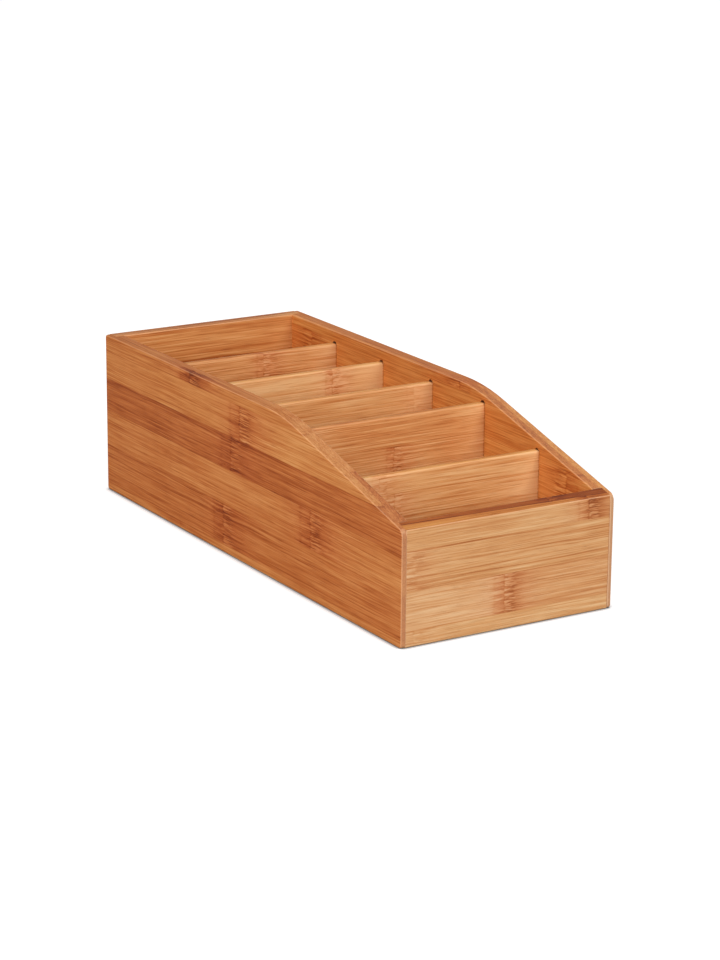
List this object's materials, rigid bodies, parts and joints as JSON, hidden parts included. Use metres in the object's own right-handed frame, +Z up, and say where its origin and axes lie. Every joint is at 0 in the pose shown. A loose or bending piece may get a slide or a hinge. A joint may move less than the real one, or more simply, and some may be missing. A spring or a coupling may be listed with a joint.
{
  "type": "compartment storage box",
  "caption": "Open-topped bamboo organizer box with sloping sides, a low front and fixed cross dividers that make a row of equal compartments.",
  "frame": {"origin": "on the table under the middle of the box, at the centre of its footprint", "axes": "+X to the right seen from the low front, +Y from the low front to the tall back, +Z up"},
  "size_m": [0.145, 0.366, 0.105],
  "materials": {
    "left_side_bamboo": "satin",
    "right_side_bamboo": "satin",
    "front_bamboo": "satin",
    "back_bamboo": "satin",
    "floor_bamboo": "satin",
    "divider_bamboo": "satin"
  },
  "bodies": {
    "root": {"left_side": "left_side_bamboo", "right_side": "right_side_bamboo", "front_panel": "front_bamboo", "back_panel": "back_bamboo", "bottom_panel": "floor_bamboo", "divider_1": "divider_bamboo", "divider_2": "divider_bamboo", "divider_3": "divider_bamboo", "divider_4": "divider_bamboo", "divider_5": "divider_bamboo"}
  },
  "joints": []
}
